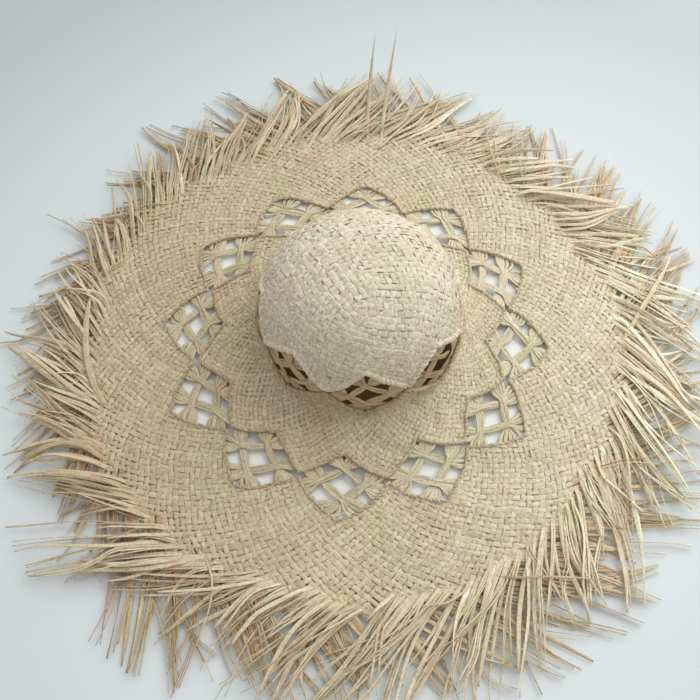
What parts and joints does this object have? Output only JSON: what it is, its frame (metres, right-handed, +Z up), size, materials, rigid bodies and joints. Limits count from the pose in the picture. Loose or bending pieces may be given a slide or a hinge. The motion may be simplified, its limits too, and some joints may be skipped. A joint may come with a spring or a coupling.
{
  "type": "straw sun hat",
  "caption": "Wide-brimmed woven raffia sun hat with openwork windows round the crown and across the brim, and a long fringe of loose strip ends.",
  "frame": {"origin": "on the surface that the hat rests on, under the middle of the brim and its fringe", "axes": "+Z up through the crown; the hat rests crown up on its brim; -Y is the side nearest the viewer"},
  "size_m": [0.69, 0.69, 0.1185],
  "materials": {
    "crown_straw": "flat raffia strips in a plain diagonal weave, pale cream, matt with a faint dry sheen",
    "brim_straw": "flat raffia strips in a plain diagonal weave, warm beige, matt",
    "edge_straw": "raffia strips folded and plaited into a narrow raised edge",
    "bundle_straw": "loose raffia strips gathered into crossing bundles",
    "fringe_straw": "loose tapered raffia strip ends, tan, slightly glossy along the fibre"
  },
  "bodies": {
    "root": {"crown_dome": "crown_straw", "crown_upper_edge": "edge_straw", "crown_window_1": "bundle_straw", "crown_window_2": "bundle_straw", "crown_window_3": "bundle_straw", "crown_window_4": "bundle_straw", "crown_window_5": "bundle_straw", "crown_window_6": "bundle_straw", "crown_window_7": "bundle_straw", "crown_window_8": "bundle_straw", "crown_lower_edge": "edge_straw", "inner_brim": "brim_straw", "brim_inner_edge": "edge_straw", "brim_window_1": "bundle_straw", "brim_window_2": "bundle_straw", "brim_window_3": "bundle_straw", "brim_window_4": "bundle_straw", "brim_window_5": "bundle_straw", "brim_window_6": "bundle_straw", "brim_window_7": "bundle_straw", "brim_window_8": "bundle_straw", "brim_window_9": "bundle_straw", "brim_window_10": "bundle_straw", "brim_window_11": "bundle_straw", "brim_window_12": "bundle_straw", "brim_outer_edge": "edge_straw", "outer_brim": "brim_straw", "fringe_lower_1": "fringe_straw", "fringe_upper_1": "fringe_straw", "fringe_lower_2": "fringe_straw", "fringe_upper_2": "fringe_straw", "fringe_lower_3": "fringe_straw", "fringe_upper_3": "fringe_straw", "fringe_lower_4": "fringe_straw", "fringe_upper_4": "fringe_straw", "fringe_lower_5": "fringe_straw", "fringe_upper_5": "fringe_straw", "fringe_lower_6": "fringe_straw", "fringe_upper_6": "fringe_straw", "fringe_lower_7": "fringe_straw", "fringe_upper_7": "fringe_straw", "fringe_lower_8": "fringe_straw", "fringe_upper_8": "fringe_straw", "fringe_lower_9": "fringe_straw", "fringe_upper_9": "fringe_straw", "fringe_lower_10": "fringe_straw", "fringe_upper_10": "fringe_straw", "fringe_lower_11": "fringe_straw", "fringe_upper_11": "fringe_straw", "fringe_lower_12": "fringe_straw", "fringe_upper_12": "fringe_straw"}
  },
  "joints": []
}
